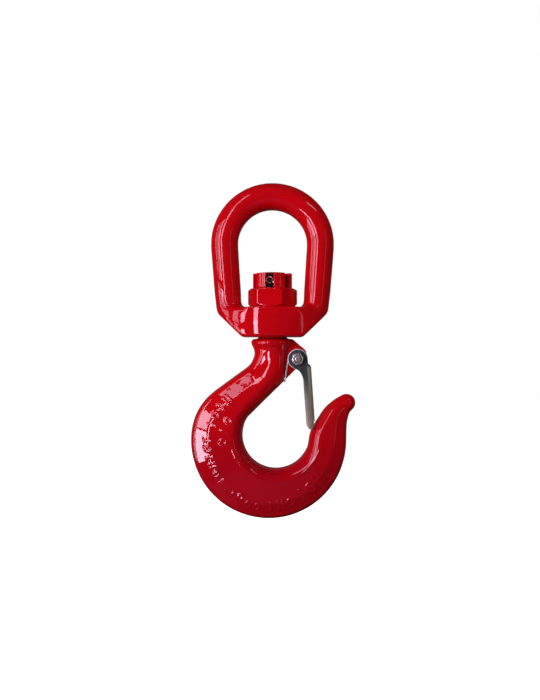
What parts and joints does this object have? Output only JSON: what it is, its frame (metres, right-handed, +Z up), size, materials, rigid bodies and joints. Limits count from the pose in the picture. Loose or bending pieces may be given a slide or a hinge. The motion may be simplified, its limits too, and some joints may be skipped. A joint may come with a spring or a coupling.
{
  "type": "swivel hook",
  "caption": "Forged swivel lifting hook: a bow-shaped bail with a broad boss, a hook that turns in it under a pinned castle nut, and a sprung sheet-steel throat latch.",
  "frame": {"origin": "on the swivel axis, at the middle of the bail's inner crown, where the load line bears", "axes": "+Z up the swivel axis to the bail's crown, +X to the hook's open side, Y across the hook's thickness; the latch nut is on the -Y side"},
  "size_m": [0.1054, 0.038, 0.214],
  "materials": {
    "red_enamel": "thick gloss enamel",
    "pin_steel": "enamel worn to steel at the rim",
    "zinc_steel": "bright zinc plate",
    "spring_steel": "bright drawn wire",
    "nylon": "natural nylon"
  },
  "bodies": {
    "bail": {"bail": "red_enamel"},
    "hook": {"hook": "red_enamel", "castle_nut": "red_enamel", "roll_pin": "pin_steel", "latch_bolt": "zinc_steel", "latch_nut": "zinc_steel", "latch_nut_insert": "nylon", "latch_spring": "spring_steel"},
    "latch": {"latch": "zinc_steel"}
  },
  "joints": [
    {"name": "swivel", "type": "hinge", "parent": "bail", "child": "hook", "pos_m": [0, 0, -0.0711], "axis": [0, 0, 1], "continuous": true},
    {"name": "latch_hinge", "type": "hinge", "parent": "hook", "child": "latch", "pos_m": [0.0159, 0, -0.095], "axis": [0, 1, 0], "range_deg": [0, 46], "stiffness_Nm_per_rad": 0.1, "springref_deg": -34.38, "deforming": ["latch_spring"]}
  ]
}
